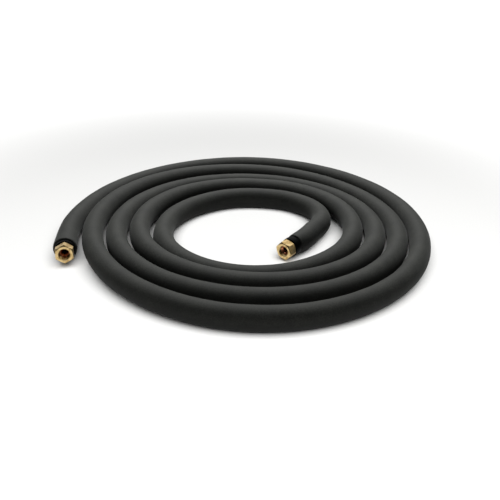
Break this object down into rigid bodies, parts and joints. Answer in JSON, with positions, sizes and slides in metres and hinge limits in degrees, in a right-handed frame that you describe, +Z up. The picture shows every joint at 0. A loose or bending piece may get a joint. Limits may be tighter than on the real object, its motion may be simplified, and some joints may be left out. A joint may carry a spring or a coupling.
{
  "type": "mini split line set",
  "caption": "Insulated copper refrigerant line for a mini split air conditioner, coiled flat, with a swivelling flare nut and a rubber ring at each end.",
  "frame": {"origin": "on the floor, under the middle of the coil's outline", "axes": "+Z up from the floor the coil lies on; +X to the right and -Y towards the viewer, as pictured, so the outer end lies at -X and points to -Y"},
  "size_m": [0.3915, 0.38, 0.0297],
  "materials": {
    "foam": "matte closed-cell insulation foam",
    "ring_rubber": "smooth matte rubber",
    "nut_brass": "turned brass, half bright",
    "copper": "soft annealed copper, half bright"
  },
  "bodies": {
    "line": {"insulation_sleeve": "foam", "copper_pipe": "copper", "end_ring_inner": "ring_rubber", "end_ring_outer": "ring_rubber"},
    "inner_nut": {"flare_nut_inner": "nut_brass"},
    "outer_nut": {"flare_nut_outer": "nut_brass"}
  },
  "joints": [
    {"name": "inner_nut_swivel", "type": "hinge", "parent": "line", "child": "inner_nut", "pos_m": [0.04571, -0.05062, 0.01173], "axis": [-0.6293, -0.7771, 0], "continuous": true},
    {"name": "outer_nut_swivel", "type": "hinge", "parent": "line", "child": "outer_nut", "pos_m": [-0.17583, -0.07279, 0.01397], "axis": [0.2237, -0.969, 0.1045], "continuous": true}
  ]
}
